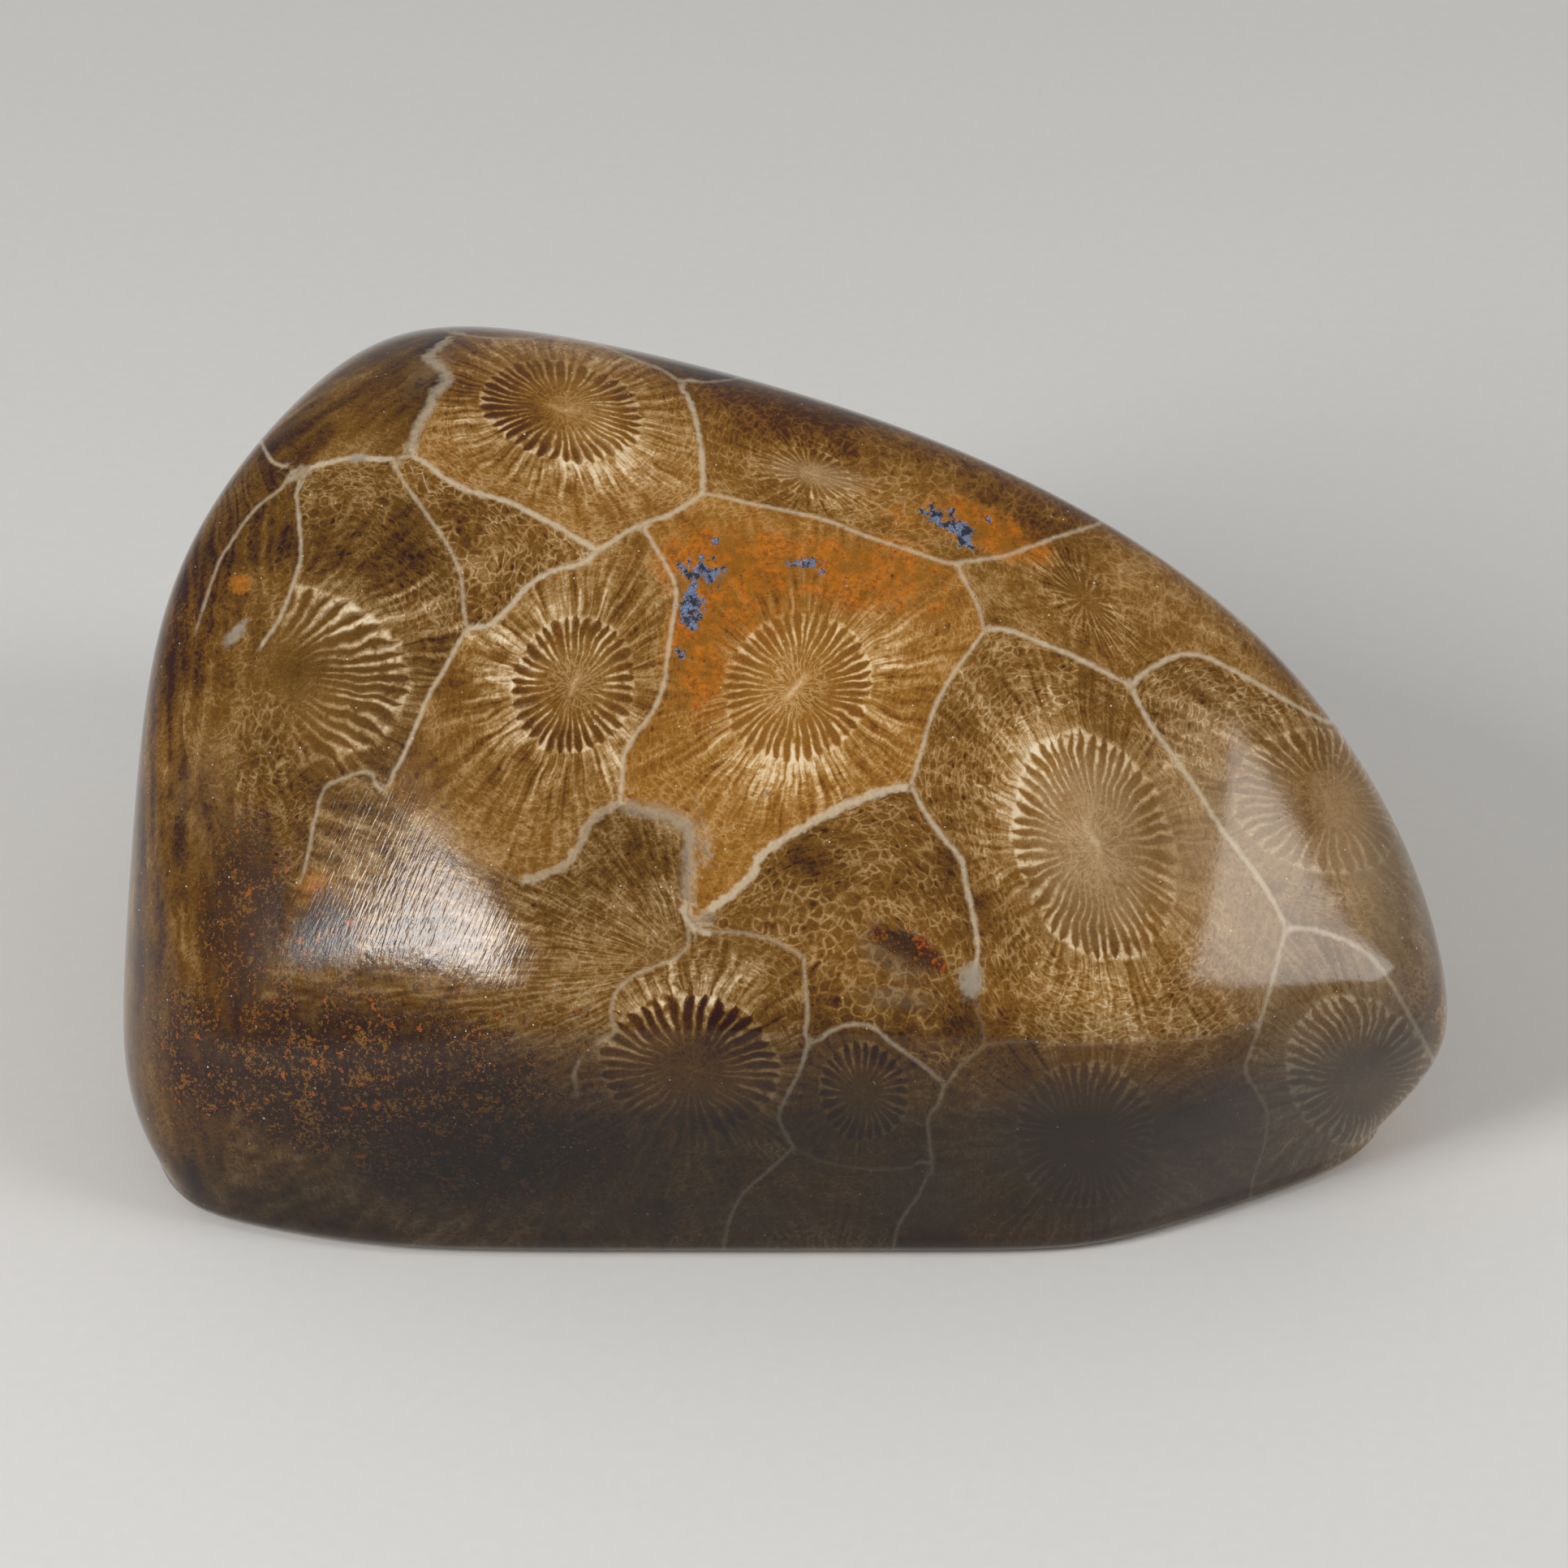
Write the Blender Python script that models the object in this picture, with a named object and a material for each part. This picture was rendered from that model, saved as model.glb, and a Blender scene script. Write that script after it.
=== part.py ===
"""A polished head of fossil colonial coral: one stone, ground into soft facets and lying on its flat base.

The stone is one solid. Each ground facet is a plane at a stated reach from a point inside the stone, and the
surface is where the rounded meeting of those planes lies, found along every direction from that point.
Seen from the front (-Y), the wide end is on the left (-X) and the tip on the right (+X). Metres, +Z up.
"""

import math

import bmesh
import bpy
import numpy as np
from mathutils import Vector

MM = 0.001

# The point inside the stone that every reach is measured from, in mm. The finished stone is moved afterwards,
# so that the middle of its box stands over the origin.
CORE = Vector((-3.2, -0.5, 16.0)) * MM

# Each facet that the polisher ground: name, azimuth (0 is right, -90 the front), elevation, both in degrees,
# reach from the core and softness of its edges, both in mm.
FACETS = (
    ("front_wall", -90, -14, 24.2, 0.8),
    ("front_wall_left", -108, -8, 27.6, 0.8),
    ("front_wall_right", -62, -20, 31.2, 0.8),
    ("brow_low_left", -112, 20, 24.2, 0.8),
    ("brow_left", -121, 40, 21.4, 0.8),
    ("front_slope", -87, 49, 17.0, 1.2),
    ("right_slope", -55, 38, 26.8, 1.2),
    ("crown", -104, 71, 22.0, 2.0),
    ("crown_far", 85, 62, 26.7, 3.0),
    ("crown_far_left", 116, 62, 34.4, 3.0),
    ("crown_far_right", 60, 50, 21.0, 2.5),
    ("crown_left", 143, 46, 34.4, 3.0),
    ("shoulder_left", 160, 28, 30.8, 2.0),
    ("shoulder_far_right", 38, 38, 23.5, 2.5),
    ("shoulder_right", 15, 20, 31.5, 2.5),
    ("tip", -12, 10, 38.8, 1.0),
    ("under_tip", -25, -36, 38.6, 1.2),
    ("left_end", 178, 4, 30.9, 1.5),
    ("left_front", -150, 15, 31.0, 1.2),
    ("under_left", -160, -32, 35.8, 1.2),
    ("under_left_front", -130, -48, 36.4, 1.5),
    ("back", 92, 2, 26.0, 3.0),
    ("back_right", 42, -5, 27.5, 3.0),
    ("back_left", 138, 4, 35.0, 3.0),
    ("under_back", 95, -42, 29.0, 2.5),
    ("under_back_right", 30, -48, 30.0, 2.5),
    ("under_back_left", 160, -48, 33.0, 2.5),
)

BASE_BELOW_CORE = 16.0 * MM  # the flat base that the stone lies on
RIM_RADIUS = 1.5 * MM  # of the rounding between the base and the walls
RIM_STEPS = 4
FACES_ALONG_SIDE = 24  # of the cube that becomes the stone's even mesh
FARTHEST_REACH = 60 * MM  # well outside the stone in every direction
HALVINGS = 40  # of the search along a direction, which ends far finer than the mesh
WELD = 0.3 * MM  # points of the cut that lie nearer to each other than this become one
SHARP_ANGLE = math.radians(30)

POLISHED_CORAL = ((0.36, 0.22, 0.09, 1.0), 0.22)  # colour and roughness


def start_empty():
    for obj in list(bpy.data.objects):
        bpy.data.objects.remove(obj)


def facet_planes():
    """Each facet's outward normal, and its reach and softness in metres, as arrays."""
    azimuth, elevation = (np.radians([facet[i] for facet in FACETS]) for i in (1, 2))
    reach, softness = (np.array([facet[i] for facet in FACETS]) * MM for i in (3, 4))
    normals = np.stack(
        [np.cos(azimuth) * np.cos(elevation), np.sin(azimuth) * np.cos(elevation), np.sin(elevation)], axis=1
    )
    return normals, reach, softness


def distance_to_surface(directions):
    """How far the stone reaches from its core along each unit direction.

    A point is inside while the sum of exp(depth past each facet / softness) stays under 1, which rounds the
    edges between facets by about their softness.
    """
    normals, reach, softness = facet_planes()
    along = directions @ normals.T
    near = np.zeros(len(directions))
    far = np.full(len(directions), FARTHEST_REACH)
    for _ in range(HALVINGS):
        middle = (near + far) / 2
        past_facets = (middle[:, None] * along - reach) / softness
        outside = np.exp(np.minimum(past_facets, HALVINGS)).sum(axis=1) > 1
        far = np.where(outside, middle, far)
        near = np.where(outside, near, middle)
    return near


def even_ball(bm):
    """A cube's grid, spread evenly over a unit ball."""
    bmesh.ops.create_cube(bm, size=2.0)
    bmesh.ops.subdivide_edges(bm, edges=bm.edges[:], cuts=FACES_ALONG_SIDE - 1, use_grid_fill=True)
    for vert in bm.verts:
        vert.co = Vector([math.tan(side * math.pi / 4) for side in vert.co]).normalized()


def grind_facets(bm):
    directions = np.array([vert.co for vert in bm.verts])
    reach = distance_to_surface(directions)
    for vert, distance in zip(bm.verts, reach):
        vert.co = CORE + vert.co * distance


def outward(points):
    """The unit direction out of the stone, level with the base, at each of these points of its surface."""
    normals, reach, softness = facet_planes()
    past_facets = ((points - np.array(CORE)) @ normals.T - reach) / softness
    slope = (np.exp(past_facets) / softness) @ normals
    slope[:, 2] = 0
    return slope / np.linalg.norm(slope, axis=1, keepdims=True)


def grind_base(bm):
    """Cuts the underside off flat, where the stone rests, and rounds the rim of the cut."""
    base_height = CORE.z - BASE_BELOW_CORE
    bmesh.ops.bisect_plane(
        bm,
        geom=bm.verts[:] + bm.edges[:] + bm.faces[:],
        plane_co=(0, 0, base_height + RIM_RADIUS),
        plane_no=(0, 0, -1),
        clear_outer=True,
    )
    bmesh.ops.remove_doubles(bm, verts=[vert for vert in bm.verts if vert.is_boundary], dist=WELD)
    rim = [edge for edge in bm.edges if edge.is_boundary]
    for step in range(1, RIM_STEPS + 1):
        turn = step / RIM_STEPS * math.pi / 2
        last_turn = turn - math.pi / 2 / RIM_STEPS
        inward = RIM_RADIUS * (math.cos(last_turn) - math.cos(turn))
        grown = bmesh.ops.extrude_edge_only(bm, edges=rim)["geom"]
        verts = [part for part in grown if isinstance(part, bmesh.types.BMVert)]
        rim = [part for part in grown if isinstance(part, bmesh.types.BMEdge)]
        away = outward(np.array([vert.co for vert in verts]))
        for vert, direction in zip(verts, away):
            vert.co -= Vector(direction) * inward
            vert.co.z = base_height + RIM_RADIUS * (1 - math.sin(turn))
    bmesh.ops.contextual_create(bm, geom=rim)
    bmesh.ops.triangulate(bm, faces=bm.faces[:])
    bmesh.ops.recalc_face_normals(bm, faces=bm.faces[:])


def stand_on_origin(bm):
    """Moves the stone so that the middle of its box's underside is the origin."""
    corners = np.array([vert.co for vert in bm.verts])
    low, high = corners.min(axis=0), corners.max(axis=0)
    middle = (low + high) / 2
    bmesh.ops.translate(bm, verts=bm.verts[:], vec=(-middle[0], -middle[1], -low[2]))


def polished_stone(name):
    colour, roughness = POLISHED_CORAL
    material = bpy.data.materials.new(name)
    material.use_nodes = True
    shader = material.node_tree.nodes["Principled BSDF"]
    shader.inputs["Base Color"].default_value = colour
    shader.inputs["Roughness"].default_value = roughness
    shader.inputs["Metallic"].default_value = 0.0
    return material


def coral_head():
    bm = bmesh.new()
    even_ball(bm)
    grind_facets(bm)
    grind_base(bm)
    stand_on_origin(bm)
    mesh = bpy.data.meshes.new("coral_head")
    bm.to_mesh(mesh)
    bm.free()
    mesh.materials.append(polished_stone("polished_coral"))
    mesh.shade_smooth()
    mesh.set_sharp_from_angle(angle=SHARP_ANGLE)
    head = bpy.data.objects.new("coral_head", mesh)
    bpy.context.scene.collection.objects.link(head)


start_empty()
coral_head()
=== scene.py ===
"""The look of a polished head of fossil colonial coral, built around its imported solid.

The stone is ground again from the same facets as the solid, on a finer mesh. Its corallites are tubes that
fan out from the colony's root, behind and below the stone. Each is cut across on the front, where it shows as
a many-sided cell with a ring of septa, and lengthwise on the ends, where it shows as streaks. Corallite walls
and rings are laid out in the pixels of the picture, and carried to the stone along the camera's rays. Lengths
are in metres where Blender holds them, and in millimetres in the layout and the patterns.
"""

import math
from types import SimpleNamespace

import bmesh
import bpy
import numpy as np
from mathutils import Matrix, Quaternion, Vector
from mathutils.bvhtree import BVHTree


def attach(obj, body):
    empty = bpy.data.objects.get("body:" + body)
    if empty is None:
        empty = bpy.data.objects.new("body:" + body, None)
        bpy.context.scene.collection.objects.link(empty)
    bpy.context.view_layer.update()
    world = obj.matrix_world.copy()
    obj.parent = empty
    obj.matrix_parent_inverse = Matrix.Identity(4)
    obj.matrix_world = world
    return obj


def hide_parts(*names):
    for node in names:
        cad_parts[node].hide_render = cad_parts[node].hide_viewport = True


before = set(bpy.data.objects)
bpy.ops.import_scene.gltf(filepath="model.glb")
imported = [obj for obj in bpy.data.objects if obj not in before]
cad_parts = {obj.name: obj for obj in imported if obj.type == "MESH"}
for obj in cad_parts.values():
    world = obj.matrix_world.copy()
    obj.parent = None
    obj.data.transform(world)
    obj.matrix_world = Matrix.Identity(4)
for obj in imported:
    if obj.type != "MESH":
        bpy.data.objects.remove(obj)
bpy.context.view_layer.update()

MM = 0.001

# ---------------------------------------------------------------- the stone's shape, as in the solid

CORE = Vector((-3.2, -0.5, 16.0)) * MM
FACETS = (  # name, azimuth, elevation, reach from the core in mm, softness of the edges in mm
    ("front_wall", -90, -14, 24.2, 0.8),
    ("front_wall_left", -108, -8, 27.6, 0.8),
    ("front_wall_right", -62, -20, 31.2, 0.8),
    ("brow_low_left", -112, 20, 24.2, 0.8),
    ("brow_left", -121, 40, 21.4, 0.8),
    ("front_slope", -87, 49, 17.0, 1.2),
    ("right_slope", -55, 38, 26.8, 1.2),
    ("crown", -104, 71, 22.0, 2.0),
    ("crown_far", 85, 62, 26.7, 3.0),
    ("crown_far_left", 116, 62, 34.4, 3.0),
    ("crown_far_right", 60, 50, 21.0, 2.5),
    ("crown_left", 143, 46, 34.4, 3.0),
    ("shoulder_left", 160, 28, 30.8, 2.0),
    ("shoulder_far_right", 38, 38, 23.5, 2.5),
    ("shoulder_right", 15, 20, 31.5, 2.5),
    ("tip", -12, 10, 38.8, 1.0),
    ("under_tip", -25, -36, 38.6, 1.2),
    ("left_end", 178, 4, 30.9, 1.5),
    ("left_front", -150, 15, 31.0, 1.2),
    ("under_left", -160, -32, 35.8, 1.2),
    ("under_left_front", -130, -48, 36.4, 1.5),
    ("back", 92, 2, 26.0, 3.0),
    ("back_right", 42, -5, 27.5, 3.0),
    ("back_left", 138, 4, 35.0, 3.0),
    ("under_back", 95, -42, 29.0, 2.5),
    ("under_back_right", 30, -48, 30.0, 2.5),
    ("under_back_left", 160, -48, 33.0, 2.5),
)
BASE_BELOW_CORE = 16.0 * MM
RIM_RADIUS = 1.5 * MM
RIM_STEPS = 4
FACES_ALONG_SIDE = 122  # of the cube that becomes the stone's even mesh
FARTHEST_REACH = 60 * MM
HALVINGS = 40
WELD = 0.05 * MM
BASE_RINGS = 40
SHRINK = 0.9989  # keeps the finer mesh inside the solid's box

# ---------------------------------------------------------------- the camera

IMAGE_SIDE = 1932  # pixels, both ways
LENS = 150.0  # mm, on a sensor of SENSOR mm
SENSOR = 36.0
CAMERA_ELEVATION = math.radians(32)
CAMERA_DISTANCE = 347 * MM
AIM_HEIGHT = 15.45 * MM

# ---------------------------------------------------------------- the corallites' layout

# Walls between corallites: left cell, right cell, width in pixels, strength, and the pixels that the wall
# passes through. Left and right are as seen when going along the pixels.
WALLS = (
    ("top", "a", 6, 0.55, (556, 411), (600, 416), (650, 417), (700, 408)),
    ("a_left", "top", 6, 0.4, (556, 411), (540, 398), (520, 385)),
    ("top", "a", 6, 0.7, (700, 408), (728, 419), (754, 431), (792, 446), (818, 457), (838, 471)),
    ("top", "i", 6, 0.6, (838, 471), (880, 470), (925, 463), (960, 450)),
    ("i", "a", 9, 1.0, (838, 471), (850, 495), (859, 525), (865, 565), (866, 608)),
    ("c", "a", 9, 1.0, (866, 608), (845, 622), (826, 634), (792, 646)),
    ("b", "a", 9, 1.0, (792, 646), (772, 655), (750, 670), (735, 679)),
    ("h2", "a", 9, 1.1, (735, 679), (718, 669), (699, 656), (660, 635), (622, 617), (578, 605), (548, 589),
     (523, 570), (506, 562)),
    ("h2", "a_left", 9, 0.9, (506, 562), (486, 565)),
    ("h", "a_left", 9, 1.1, (486, 565), (462, 566), (440, 563), (410, 569), (376, 578)),
    ("l", "a_left", 6, 0.9, (376, 578), (352, 575), (335, 568), (322, 545), (312, 525), (285, 505)),
    ("hl", "l", 6, 0.7, (376, 578), (345, 603), (318, 624), (300, 645), (284, 670), (268, 697), (240, 780)),
    ("h", "hl", 7, 0.85, (376, 578), (365, 600), (367, 628), (371, 681), (362, 717), (345, 761), (318, 801)),
    ("h", "hl", 6, 0.0, (318, 801), (300, 870), (290, 960), (290, 1050)),
    ("a_left", "a", 19, 0.9, (506, 562), (514, 528), (530, 500), (536, 484), (552, 468), (540, 450),
     (528, 440), (545, 424), (556, 411)),
    ("b", "h2", 9, 1.1, (735, 679), (724, 690), (705, 698), (686, 702), (667, 711), (648, 724), (632, 743),
     (613, 762), (600, 771), (576, 775)),
    ("b", "h", 7, 0.95, (576, 775), (568, 787), (556, 809), (544, 831), (530, 853), (517, 884), (506, 910),
     (495, 935), (483, 955), (472, 975)),
    ("h", "h2", 6, 0.8, (576, 775), (571, 750), (570, 730), (565, 700), (553, 675), (542, 656), (530, 640),
     (518, 622), (503, 602), (492, 583), (486, 565)),
    ("c", "b", 7, 0.95, (792, 646), (806, 672), (824, 702), (833, 728), (829, 765), (823, 804), (818, 842),
     (804, 877), (782, 906), (769, 932), (766, 967), (763, 990)),
    ("c", "bl", 21, 0.7, (763, 990), (790, 998), (820, 1004), (846, 1018), (850, 1050), (848, 1090),
     (850, 1138)),
    ("bl", "b", 15, 0.6, (763, 990), (737, 1003), (722, 1020), (712, 1045), (692, 1068), (662, 1080),
     (640, 1085)),
    ("bl", "b", 8, 0.1, (640, 1085), (580, 1060), (530, 1030), (495, 1000), (472, 975)),
    ("bl", "h", 6, 0.7, (472, 975), (455, 952), (425, 958), (400, 972), (388, 1010), (380, 1050),
     (370, 1092)),
    ("bl", "l", 6, 0.0, (370, 1092), (340, 1180), (300, 1290), (280, 1400), (270, 1450)),
    ("hl", "l", 6, 0.0, (240, 780), (225, 880), (240, 960), (290, 1050)),
    ("h", "l", 6, 0.0, (290, 1050), (330, 1075), (370, 1092)),
    ("i", "c", 6, 0.9, (866, 608), (895, 613), (922, 620), (973, 630), (1021, 642), (1069, 661), (1117, 677),
     (1161, 692), (1180, 694)),
    ("i", "n", 7, 0.85, (1180, 694), (1205, 690), (1237, 685), (1272, 673), (1304, 661), (1342, 650),
     (1362, 641), (1385, 632)),
    ("n", "c", 6, 0.8, (1180, 694), (1190, 718), (1203, 742), (1213, 777)),
    ("d", "c", 6, 1.0, (1213, 777), (1192, 806), (1178, 825), (1154, 867), (1138, 915), (1128, 950),
     (1122, 969)),
    ("n", "d", 8, 1.0, (1213, 777), (1234, 775), (1266, 785), (1298, 798), (1323, 809), (1355, 825),
     (1393, 845)),
    ("n", "k", 8, 1.0, (1393, 845), (1410, 829), (1441, 811), (1463, 806), (1489, 811), (1521, 827),
     (1553, 844), (1597, 870), (1640, 890), (1668, 878)),
    ("k", "d", 8, 1.0, (1393, 845), (1406, 872), (1424, 902), (1454, 943), (1476, 975), (1502, 1017),
     (1529, 1052), (1561, 1097), (1585, 1143)),
    ("k", "m", 8, 0.95, (1585, 1143), (1620, 1146), (1660, 1160), (1690, 1180), (1712, 1208), (1730, 1240),
     (1750, 1275), (1765, 1305), (1775, 1330)),
    ("m", "d", 7, 0.8, (1585, 1143), (1576, 1175), (1570, 1200), (1560, 1235), (1552, 1262)),
    ("m", "g", 6, 0.7, (1552, 1262), (1541, 1295), (1535, 1320), (1549, 1345), (1561, 1370), (1558, 1410),
     (1545, 1450), (1540, 1480)),
    ("g", "d", 6, 0.12, (1552, 1262), (1500, 1275), (1420, 1283), (1330, 1287), (1260, 1283), (1215, 1288)),
    ("g", "u", 6, 0.3, (1215, 1288), (1185, 1312), (1164, 1336)),
    ("d", "u", 8, 0.95, (1122, 969), (1142, 1004), (1165, 1036), (1184, 1058), (1190, 1090), (1199, 1128),
     (1205, 1170), (1199, 1200)),
    ("d", "u", 8, 0.12, (1199, 1200), (1205, 1245), (1215, 1288)),
    ("c", "u", 14, 1.05, (850, 1138), (880, 1116), (907, 1097), (927, 1077), (937, 1056), (960, 1037),
     (1000, 1014), (1037, 995), (1069, 981), (1101, 971), (1122, 969)),
    ("e", "bl", 6, 0.6, (850, 1138), (848, 1162), (833, 1180), (805, 1192), (780, 1203), (760, 1222),
     (753, 1245), (757, 1270), (740, 1283), (718, 1300), (708, 1325), (712, 1352)),
    ("e", "bl", 6, 0.1, (712, 1352), (695, 1420), (675, 1480), (660, 1540)),
    ("u", "e", 6, 0.45, (850, 1138), (880, 1148), (920, 1150), (955, 1160), (990, 1178)),
    ("u", "e", 6, 0.65, (990, 1178), (992, 1210), (995, 1245), (996, 1285)),
    ("u", "f", 6, 0.75, (996, 1285), (1020, 1272), (1045, 1263), (1074, 1265), (1100, 1286), (1135, 1311),
     (1164, 1336)),
    ("g", "f", 6, 0.75, (1164, 1336), (1156, 1360), (1144, 1378), (1145, 1405), (1149, 1432)),
    ("g", "f_low", 6, 0.65, (1149, 1432), (1131, 1474), (1112, 1500), (1104, 1520), (1100, 1545)),
    ("f", "e", 6, 0.7, (996, 1285), (985, 1320), (970, 1350), (960, 1378), (978, 1414)),
    ("f_low", "e", 6, 0.65, (978, 1414), (950, 1440), (918, 1468), (900, 1500), (890, 1545)),
    ("f", "f_low", 6, 0.25, (978, 1414), (1010, 1430), (1060, 1440), (1110, 1440), (1149, 1432)),
    # Beyond the outline, on the back and the ends, as a guess.
    ("top", "o", 7, 0.8, (960, 450), (975, 415), (1000, 370), (1010, 330)),
    ("o", "i", 7, 0.8, (960, 450), (1010, 468), (1060, 484), (1140, 514), (1220, 546), (1270, 570)),
    ("o", "p", 7, 0.8, (1270, 570), (1290, 520), (1330, 470), (1350, 420)),
    ("p", "i", 7, 0.8, (1270, 570), (1310, 590), (1350, 610), (1385, 632)),
    ("p", "n", 7, 0.8, (1385, 632), (1430, 662), (1500, 710), (1570, 770), (1620, 820), (1668, 878)),
    ("p", "k", 7, 0.8, (1668, 878), (1715, 930), (1760, 1010), (1800, 1100)),
    ("q", "a_left", 7, 0.8, (285, 505), (230, 450), (170, 400)),
    ("l", "q", 7, 0.8, (285, 505), (230, 580), (185, 670), (155, 760), (138, 850), (128, 930)),
    ("l", "r", 7, 0.8, (128, 930), (120, 1030), (115, 1140), (110, 1240), (112, 1330), (140, 1430),
     (200, 1500)),
    ("r", "q", 7, 0.8, (128, 930), (60, 950), (0, 940), (-80, 950)),
)

# Corallites: the ring's centre and its two half-lengths in pixels, the angle of the axial plate in degrees
# clockwise from the right, and the number of septa. Then how strongly it shows its ring, the dark between its
# septa, its axial web and its septa, how far its septa run out past the ring, and how golden, how pale, how
# streaky and how blistered it is, each about 0 to 1.
CORALLITES = {
    "a": ((692, 503), 104, 62, 12, 40, 0.8, 0.7, 0.7, 1.1, 0.8, 0.60, 0.36, 0.5, 0.6),
    "b": ((706, 843), 88, 76, 112, 34, 0.8, 0.75, 0.9, 1.1, 1.0, 0.45, 0.40, 0.8, 0.5),
    "c": ((982, 845), 98, 90, 130, 42, 0.8, 0.42, 1.0, 1.0, 0.8, 1.0, 0.24, 0.7, 0.55),
    "d": ((1348, 1040), 146, 98, 72, 46, 0.4, 0.30, 1.0, 0.95, 1.0, 0.38, 0.36, 0.6, 0.9),
    "e": ((850, 1318), 112, 88, 5, 34, 0.6, 0.7, 0.4, 0.9, 0.7, 0.15, 0.22, 0.5, 0.6),
    "f": ((1064, 1347), 62, 56, 80, 26, 0.3, 0.8, 0.3, 0.7, 0.8, 0.1, 0.16, 0.3, 0.5),
    "g": ((1338, 1403), 92, 88, 90, 40, 0.2, 0.4, 0.2, 0.6, 1.1, 0.2, 0.18, 0.6, 0.5),
    "h": ((318, 830), 142, 116, 0, 42, 0.5, 0.2, 0.1, 0.9, 0.6, 0.10, 0.28, 0.5, 0.8),
    "i": ((1000, 583), 52, 30, 20, 26, 0.8, 0.1, 0.8, 0.7, 0.6, 0.45, 0.24, 0.4, 0.7),
    "k": ((1636, 985), 100, 60, 62, 38, 0.25, 0.1, 0.4, 0.7, 1.2, 0.2, 0.37, 0.8, 0.9),
    "m": ((1680, 1330), 90, 70, 100, 40, 0.2, 0.15, 0.3, 0.7, 1.2, 0.2, 0.46, 0.8, 0.5),
    "n": ((1336, 737), 56, 22, 48, 22, 0.9, 0.4, 0.1, 0.6, 1.2, 0.45, 0.38, 0.6, 0.5),
    "hl": ((400, 380), 140, 140, 0, 60, 0.0, 0.0, 0.0, 0.0, 0.9, 0.1, 0.20, 0.9, 0.5),
    "l": ((260, 300), 140, 140, 0, 90, 0.0, 0.0, 0.0, 0.0, 0.9, 0.1, 0.14, 1.1, 0.4),
    "u": ((1020, 1450), 140, 120, 0, 30, 0.0, 0.0, 0.0, 0.0, 0.5, 0.25, 0.20, 0.0, 1.0),
    "bl": ((850, 1190), 60, 40, 0, 60, 0.0, 0.0, 0.0, 0.0, 0.5, 0.05, 0.36, 1.0, 0.5),
    "h2": ((450, 790), 120, 120, 0, 30, 0.0, 0.0, 0.0, 0.0, 0.5, 0.25, 0.25, 0.0, 1.1),
    "a_left": ((820, 280), 140, 120, 0, 60, 0.0, 0.1, 0.0, 0.0, 0.5, 0.1, 0.20, 0.9, 0.3),
    "top": ((760, 330), 90, 70, 30, 40, 0.8, 0.8, 0.8, 0.9, 0.8, 0.2, 0.2, 0.4, 0.6),
    "o": ((1140, 430), 85, 45, 25, 34, 0.7, 0.5, 0.7, 0.9, 0.8, 0.4, 0.32, 0.5, 0.8),
    "p": ((1500, 600), 90, 50, 40, 36, 0.6, 0.5, 0.7, 0.9, 0.9, 0.3, 0.32, 0.5, 0.8),
    "q": ((60, 760), 90, 60, 80, 34, 0.7, 0.5, 0.6, 0.9, 0.8, 0.15, 0.26, 0.6, 0.8),
    "r": ((20, 1180), 100, 70, 90, 36, 0.7, 0.5, 0.6, 0.9, 0.8, 0.1, 0.22, 0.6, 0.8),
    "f_low": ((1020, 1590), 80, 70, 30, 38, 0.6, 0.8, 0.6, 0.9, 0.8, 0.1, 0.15, 0.4, 0.6),
}

# Painted shade: the front wall's colour is darkened, ever more so downwards from the ridge above it, as if in
# the shadow under the ridge. In mm.
RIDGE_LINE = ((-30.0, -10.0), (8.0, 17.5))  # across, height
RIDGE_SHADE_DEPTH = 7.0
RIDGE_SHADE_CURVE = 0.7
FRONT_FACING = (0.3, 0.8)  # how far a normal points to the front where the shade begins and is whole

# Where the surface turns away from the camera, the tubes wander: size in mm, share and seeds of each wave.
TURNED_AWAY = 0.25
WANDER = ((9, 1.6, (1, 2)), (3, 0.56, (3, 4)))
FAR_FROM_WALL = 1.0  # mm, past which the distance to the nearest sample is the better measure
FAR_FADE = 0.5

# Colonies grow from a root: the fan's centre lies this far behind the stone's middle, seen from the camera.
STONE_MIDDLE = Vector((0.0, 0.0, 16.0))  # mm
ROOT_BEHIND = 115.0
FAN_REFERENCE = 135.0  # distance from the root at which the fan's coordinates are true mm

WALL_SAMPLE = 0.5  # mm between samples of a wall
WALL_SIDE = 0.45  # mm from a wall to the points that stand for the cells beside it
PIXEL_STEP = 4.0  # pixels between the points of a wall's line
HALF_CHORD = 0.3  # mm each way along a wall, over which its direction is measured
MM_PER_PIXEL = 0.0431

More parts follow.
